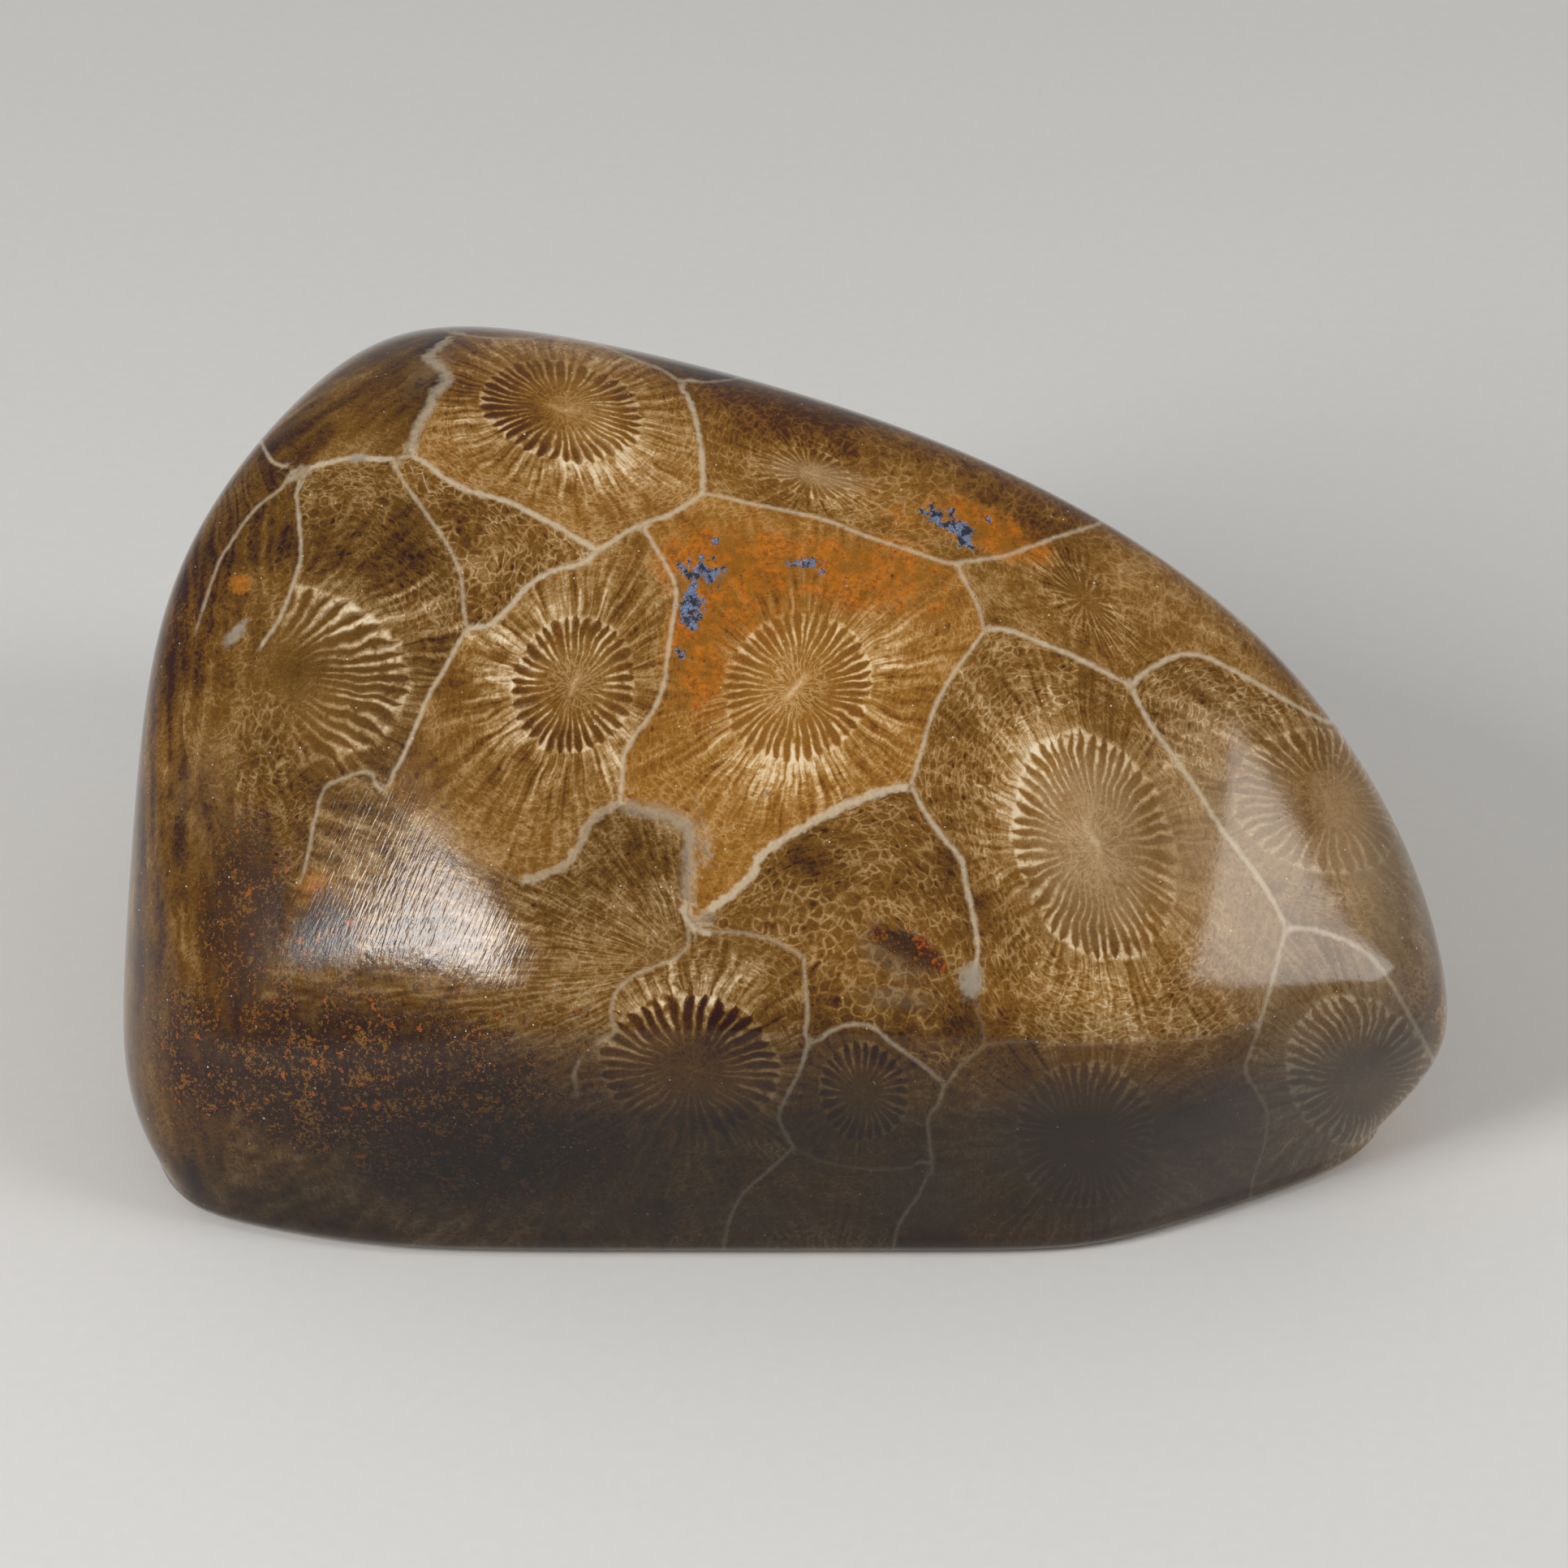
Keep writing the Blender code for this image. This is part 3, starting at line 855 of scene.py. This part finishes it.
def find_corallite(at):
    """Which corallite this is, where in it, in ring radii and turns, and how that corallite looks."""
    in_first = maths("GREATER_THAN", attribute("side", "Fac"), 0.0)
    cells = {"Factor": in_first, 4: attribute("second_cell"), 5: attribute("first_cell")}
    u, v, at.code = parts(field("ShaderNodeMix", cells, 1, data_type="VECTOR"))
    at.count = maths("ROUND", maths("FRACT", at.code) * 100.0)
    at.u = u + at.drift_x * 0.16 + at.shiver_x * 0.02
    at.v = v + at.drift_y * 0.16 + at.shiver_y * 0.02
    at.rho = maths("SQRT", at.u * at.u + at.v * at.v)
    at.turn = maths("ARCTAN2", at.v, at.u) / (2 * math.pi) + 0.5
    away = maths("MAXIMUM", at.rho, 0.001)
    at.cosine, at.sine = at.u / away, at.v / away
    at.ring, at.core, at.web = parts(attribute("ring_look"))
    at.septa, at.run, at.radius = parts(attribute("septa_look"))
    at.gold, at.pale, at.streaky = parts(attribute("cell_tone"))
    brighter, at.dark, at.blistered = parts(attribute("cell_fill"))
    at.shown = 1.0 + brighter
    at.inside = smooth(at.rho, 1.03, 0.96)


def septa_inside(at):
    """Thin lines that widen at the ring until they meet, which rounds the chambers' ends."""
    along = at.turn * at.count + at.drift_z * 0.8 + at.shiver_z * 0.2
    index = maths("FLOOR", along)
    at.first, second, third = draw(vector(maths("WRAP", index, at.count, 0.0), at.code, 1.0))
    off_line = maths("ABSOLUTE", along - index - 0.5 - (at.first - 0.5) * 0.36)
    closing = maths("MULTIPLY_ADD", at.rho - second * 0.06, 1 / 0.16, -0.80 / 0.16, clamp=True)
    thin = 0.08 + 0.10 * second
    half = thin + (0.5 - thin) * (1.0 - maths("SQRT", 1.0 - closing * closing * 0.999))
    line = smooth(off_line - half, 0.18, -0.12) * smooth(at.rho - third * 0.20, 0.22, 0.44)
    return line * (0.40 + 0.30 * third + 0.40 * smooth(at.rho, 0.4, 0.9))


def lobes(at):
    """The ring itself, a pale band, and twice as many lobes as septa, that run out of it to ragged ends."""
    fine = at.turn * at.count * 2.0 + at.drift_z * 1.6 + at.shiver_z * 0.5
    index = maths("FLOOR", fine)
    fourth, fifth, _ = draw(vector(maths("WRAP", index, at.count * 2.0, 0.0), at.code, 5.0))
    off_lobe = maths("ABSOLUTE", fine - index - 0.5 - (fifth - 0.5) * 0.2)
    end = 1.06 + at.run * (0.10 + 0.55 * fourth) * at.shown
    half = 0.34 + 0.18 * at.ring - 0.24 * smooth(at.rho, 1.04, end)
    lobe = smooth(off_lobe - half, 0.20, -0.14) * smooth(at.rho - end, 0.34, -0.20)
    lobe = lobe * between(0.3 + 0.6 * fifth, 1.0, smooth(at.rho, 1.25, 1.0)) * (0.5 + 0.5 * at.ring)
    return lobe * smooth(at.shown + (at.cloud - 0.5) * 1.2, 0.2, 2.0) * 1.05


def streaks(at):
    """Long faint streaks from the ring out to the walls, around 0."""
    rays = vector(at.cosine * at.count * 0.62, at.sine * at.count * 0.62, at.rho * 1.6 + at.code)
    near_ring = smooth(at.rho, 0.9, 1.05) * smooth(at.rho, 2.1, 1.0)
    strength = at.streaky * smooth(at.rho, 0.85, 1.15) * 1.3 + near_ring * at.ring * 1.6
    return (noise(rays, 1.3, 1.0, 0.6) - 0.5) * strength


def axial_web(at):
    """The light area in the middle of a ring, and its tangle of lines with the axial plate through it."""
    cells = vector(at.cosine * 6.0, at.sine * 6.0, at.rho * 5.0 + at.code * 7.3)
    cells = moved(cells, scaled(at.shiver, 1.1))
    area = smooth(at.rho + at.drift_z * 0.3, 0.56, 0.30)
    line = smooth(cracks(cells, 1.0), 0.22, 0.0) * area
    plate = smooth(maths("ABSOLUTE", at.v + at.shiver_y * 0.1), 0.09, 0.0)
    plate = plate * smooth(maths("ABSOLUTE", at.u + at.shiver_x * 0.2), 0.40, 0.06)
    return area, maths("MAXIMUM", line * 0.6, plate * 0.9) * at.web


def blisters(at):
    """Between the ring and the walls, in courses that follow both: a net of pale lines, and dark pores."""
    across, upwards, outwards = parts(attribute("tube"))
    courses = maths("MAXIMUM", (at.rho - 1.0) * at.radius, 0.0) * 0.6 - at.wall_gap * 0.4
    cells = vector(across * 1.35, upwards * 1.35, courses * 2.3 + outwards * 0.5 + at.code * 5.1)
    cells = moved(moved(cells, scaled(at.drift, 1.2)), scaled(at.shiver, 0.5))
    row = off_row(courses * 1.9 + outwards * 0.4 + at.drift_x * 1.6 + at.shiver_x * 0.7)
    crossing_row = off_row(courses * 1.7 + outwards * 0.4 + at.drift_y * 1.8 + at.shiver_y * 0.8 + 0.4)
    off_rows = maths("MINIMUM", row, crossing_row * 1.15)
    bubble = smooth(cracks(cells, 0.9), 0.21, 0.0) * smooth(at.cloud, 0.20, 0.46)
    line = maths("MAXIMUM", smooth(off_rows, 0.20, 0.0) * 0.55, bubble)
    line = line * smooth(at.strokes + at.mottle, 0.50, 1.25) * 1.2
    distance, random = dots(cells, 0.8)
    pore = smooth(distance, 0.42, 0.12) * parts(random)[0] * smooth(off_rows, 0.08, 0.26)
    return line, pore


def walls(at):
    """How much of the wall between two corallites shows here, and how much it is a wide, soft one."""
    width, strength = attribute("wall_width", "Fac"), attribute("wall_strength", "Fac")
    half = width * (0.03 + 0.64 * noise(at.place, 0.42, 1.0))
    wide = smooth(width, 0.72, 0.88)
    return smooth((at.wall_gap - half) / (0.12 + wide * 0.16), 1.0, -1.0) * strength, wide


def tone_of_ground(at):
    """From 0 dark to 1 light and beyond."""
    septum = between(lobes(at), septa_inside(at) * 1.35, at.inside)
    septum = septum * at.septa * at.shown * smooth(at.strokes, 0.15, 0.60)
    web_area, web_line = axial_web(at)
    line, pore = blisters(at)
    outside = maths("MAXIMUM", smooth(at.rho, 1.0, 1.25), smooth(at.septa * at.shown, 0.5, 0.2))
    # at.dark darkens the tone: partly the stone's own darker patches, partly painted shade along the top
    # edge.
    tone = at.pale + (at.cloud - 0.5) * 0.8 + (at.mottle - 0.5) * 0.5 + streaks(at) - at.dark * 0.5
    tone = tone + (line * 0.56 - pore * 0.60 - 0.12) * outside * at.blistered
    chamber = smooth(at.rho + at.ragged * 0.5, 0.50, 0.86) * at.inside * at.septa
    bars = smooth(off_row(at.rho * 7.0 + at.drift_x * 2.0 + at.first), 0.22, 0.0) * at.inside * at.septa
    tone = tone + bars * (at.strokes - 0.2) * 0.25
    tone = tone - chamber * at.core * (0.52 + (at.mottle - 0.5) * 0.9 + (at.strokes - 0.5) * 0.4)
    tone = tone + web_area * at.web * (0.5 - at.rho) * 0.5 + web_line * 0.7 + septum * 0.9
    # The haze lightens the tone: partly the stone's own, partly painted reflection.
    tone = between(tone, 0.80, at.haze * 0.35)
    tone = tone + (at.grain - 0.5) * 0.7 + (at.speckle - 0.5) * 0.6 - smooth(at.grain, 0.60, 0.70) * 0.30
    return tone, septum


def find_stains(at):
    at.iron, haze, matrix = parts(attribute("stains"))
    at.pits, rust, at.grey = parts(attribute("spots"))
    # Knots and scratches are the stone's own; the front wall's share is painted shade.
    knot, at.scratched, at.front_wall = parts(attribute("finish"))
    uneven = (at.strokes - 0.5) * 0.6
    at.iron_deep = smooth(at.iron + at.ragged * 1.2 + uneven, 0.35, 0.90)
    at.iron_pale = smooth(at.iron + at.ragged * 0.4, 0.10, 0.60)
    at.matrix = smooth(matrix + at.ragged * 1.2 + (at.cloud - 0.5) * 0.7 + uneven, 0.20, 0.80)
    # The haze is partly painted reflection of the right light.
    at.haze = smooth(haze + at.ragged * 0.4, 0.1, 0.9)
    at.rust = smooth(rust + at.ragged * 1.2, 0.45, 0.95)
    at.knot = smooth(knot + at.ragged * 0.8 + (at.strokes - 0.5) * 0.5, 0.25, 0.9)
    at.pit = smooth(at.pits * 0.34 + noise(at.place, 0.6, 3.0, 0.7), 0.72, 0.78) * smooth(at.pits, 0.1, 0.3)


def stained_and_sheened(at, ground, septum, shades):
    """The colour after each stain, the haze with its partly painted reflection, the matrix, the walls, the
    knots and the pits.
    """
    ochre_share = at.mottle + (at.strokes - 0.5) * 0.5 + (at.speckle - 0.5) * 0.2
    ochre = layered(
        colours(ORANGE_MID, ORANGE, smooth(ochre_share, 0.35, 0.70)),
        (ORANGE_DARK, smooth(at.grain + at.mottle, 0.95, 1.30) * 0.8),
    )
    light_share = at.mottle + (at.grain - 0.5) * 1.6 + (at.speckle - 0.5) * 0.9
    stuff = layered(
        MATRIX,
        (MATRIX_PURPLE, smooth(at.grey + (at.strokes - 0.5) * 0.5, 0.2, 0.6)),
        (MATRIX_LIGHT, smooth(light_share, 0.55, 0.85)),
        (MATRIX_SPECK, smooth(at.strokes + (at.speckle - 0.5) * 0.3, 0.64, 0.72) * 0.8),
    )
    wall, wide = walls(at)
    wall_shade = colours(colours(WALL_GREY, shades[3], 0.35), KNOT_GREY, wide * 0.7)
    soot = noise(moved(at.place, (9.0, 3.0, 5.0)), 0.35, 3.0, 0.7)
    soot_in = smooth(soot, 0.44, 0.56) * at.pit
    specks_in = smooth(soot + at.iron * 0.05, 0.70, 0.76) * smooth(at.iron, 0.1, 0.5)
    return layered(
        ground,
        # The haze, partly painted reflection.
        (HAZE_AND_SHEEN, at.haze * 0.38),
        (GREY, smooth(at.grey + at.ragged * 0.5, 0.15, 0.85) * 0.55),
        (ochre, at.iron_deep * (0.85 - septum * 0.4)),
        (stuff, at.matrix * 0.94),
        (wall_shade, wall * (0.45 + 0.7 * at.grain) * (1.0 - at.matrix * 0.85)),
        (KNOT_GREY, at.knot * 0.85),
        (colours(RUST, RUST_LIGHT, smooth(at.grain, 0.48, 0.62)), at.rust * 0.85),
        (colours(SLATE, SLATE_PALE, smooth(at.speckle, 0.45, 0.7)), at.pit * 0.92),
        (SOOT, maths("MAXIMUM", soot_in, specks_in * 0.8) * 0.9),
    )


def grains(at):
    """Tiny scattered spots: how much of a white one, a painted glint, and of a dark grain shows here."""
    distance, random = dots(at.place, 0.4)
    size, tone, _ = parts(random)
    speck = smooth(distance - size * 0.05 + (at.speckle - 0.5) * 0.25, 0.12, 0.0)
    return speck * smooth(tone + at.matrix * 0.07, 0.90, 0.92), speck * smooth(tone, 0.60, 0.55)


def relief(at):
    """The bump of the polish: a fine grain, and scratches, which are deeper on the brow."""
    scratch_place = vector(
        vector_maths("DOT_PRODUCT", at.place, SCRATCH_ALONG, output="Value") * 0.09,
        vector_maths("DOT_PRODUCT", at.place, SCRATCH_ACROSS, output="Value"),
        vector_maths("DOT_PRODUCT", at.place, SCRATCH_ALONG.cross(SCRATCH_ACROSS), output="Value"),
    )
    scratch = noise(scratch_place, 0.16, 1.0, 0.6)
    height = at.grain * (0.4 + at.scratched * 0.8) + scratch * (0.2 + at.scratched * 3.0)
    inputs = {"Strength": BUMP_STRENGTH, "Distance": BUMP_DEPTH, "Height": height}
    return field("ShaderNodeBump", inputs, "Normal")


def new_material(name):
    """A material whose tree takes the next nodes."""
    material = bpy.data.materials.new(name)
    material.use_nodes = True
    Field.tree = material.node_tree
    return material


def coral_material():
    material = new_material("polished_coral")
    shader = material.node_tree.nodes["Principled BSDF"]
    at = patterns()
    find_corallite(at)
    find_stains(at)
    offset_x, offset_y, far = parts(attribute("wall_offset"))
    near = maths("SQRT", offset_x * offset_x + offset_y * offset_y)
    at.wall_gap = between(near, far, smooth(far, 0.8, 1.4))

    tone, septum = tone_of_ground(at)
    gold = maths("ADD", at.gold, (at.cloud - 0.5) * 0.8, clamp=True)
    gold = maths("MAXIMUM", gold, at.iron_pale)
    shades = [colours(olive, golden, gold) for olive, golden in zip(OLIVE, GOLD)]
    steps = [smooth(tone, low, high) for low, high in SHADE_STEPS]
    ground = layered(shades[0], *zip((*shades[1:], PALE), steps))
    painted_glint, dark_grain = grains(at)
    # The white spots are painted glints: the polish's sparkle laid into the colour.
    ground = layered(
        stained_and_sheened(at, ground, septum, shades), (PAINTED_GLINT_WHITE, painted_glint * 0.8), (shades[0], dark_grain * 0.6)
    )
    # Painted shade: the front wall's colour is darkened as if it lay in shadow below the ridge.
    shade = 1.0 - at.front_wall * PAINTED_FRONT_WALL_SHADE
    roughness = POLISH + 0.08 * at.mottle + 0.45 * at.pit + 0.07 * at.matrix + 0.3 * dark_grain
    put(shader.inputs["Base Color"], colours(ground, vector(shade, shade, shade), 1.0, blend="MULTIPLY"))
    put(shader.inputs["Roughness"], roughness + 0.08 * at.scratched)
    put(shader.inputs["IOR"], STONE_IOR)
    put(shader.inputs["Normal"], relief(at))
    return material


# ================================================================ stage

CLIP_START = 0.01
FLOOR_HALF = 2.5
FLOOR_GAP = 0.02 * MM
PAPER = ((0.74, 0.73, 0.71), (0.78, 0.77, 0.75))
PAPER_TOOTH = 0.8 * MM
PAPER_ROUGHNESS = 0.75
LIGHT_DISTANCE = 0.5
SOFT_BOXES = (  # name, azimuth, elevation, width and height, power, spin about its own axis
    ("left_box", -137, 31, (0.12, 0.19), 1.6, 0),
    ("right_box", -22, 26, (0.13, 0.50), 1.0, 21),
)
ROOM_LIGHT = (1.0, 0.985, 0.96, 1.0)
ROOM_STRENGTH = 0.36


def direction(azimuth, elevation):
    a, e = math.radians(azimuth), math.radians(elevation)
    return Vector((math.cos(a) * math.cos(e), math.sin(a) * math.cos(e), math.sin(e)))


def in_scene(name, data):
    made = bpy.data.objects.new(name, data)
    bpy.context.scene.collection.objects.link(made)
    return made


def add_floor():
    mesh = bpy.data.meshes.new("floor")
    corners = ((-1, -1), (1, -1), (1, 1), (-1, 1))
    places = [(x * FLOOR_HALF, y * FLOOR_HALF, -FLOOR_GAP) for x, y in corners]
    mesh.from_pydata(places, [], [(0, 1, 2, 3)])
    material = new_material("floor_paper")
    shader = material.node_tree.nodes["Principled BSDF"]
    tooth = noise(field("ShaderNodeTexCoord", output="Object"), PAPER_TOOTH)
    put(shader.inputs["Base Color"], colours(*PAPER, tooth))
    put(shader.inputs["Roughness"], PAPER_ROUGHNESS)
    mesh.materials.append(material)
    floor = in_scene("floor", mesh)


def add_camera(aim):
    back = view_axes()[2]
    data = bpy.data.cameras.new("camera")
    data.lens = LENS
    data.sensor_width = SENSOR
    data.clip_start = CLIP_START
    camera = in_scene("camera", data)
    camera.location = aim + back * CAMERA_DISTANCE
    camera.rotation_euler = (-back).to_track_quat("-Z", "Y").to_euler()
    bpy.context.scene.camera = camera


def add_lights():
    for name, azimuth, elevation, size, power, spin in SOFT_BOXES:
        light = bpy.data.lights.new(name, "AREA")
        light.shape = "RECTANGLE"
        light.size, light.size_y = size
        light.energy = power
        lamp = in_scene(name, light)
        away = direction(azimuth, elevation) * LIGHT_DISTANCE
        lamp.location = STONE_MIDDLE * MM + away
        facing = (-away).to_track_quat("-Z", "Y")
        lamp.rotation_euler = (facing @ Quaternion((0, 0, 1), math.radians(spin))).to_euler()
    world = bpy.data.worlds.new("studio")
    world.use_nodes = True
    background = world.node_tree.nodes["Background"]
    background.inputs["Color"].default_value = ROOM_LIGHT
    background.inputs["Strength"].default_value = ROOM_STRENGTH
    bpy.context.scene.world = world
    bpy.context.scene.view_settings.view_transform = "Standard"


# ================================================================ the scene

head_mesh, head_tree, head_shift = stone_mesh()
camera_aim = Vector((head_shift.x, head_shift.y, AIM_HEIGHT + head_shift.z))
lay_out(head_mesh, head_tree, camera_aim)
head_mesh.materials.append(coral_material())
head = in_scene("coral_stone", head_mesh)
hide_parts("coral_head")
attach(head, "root")

add_floor()
add_lights()
add_camera(camera_aim)
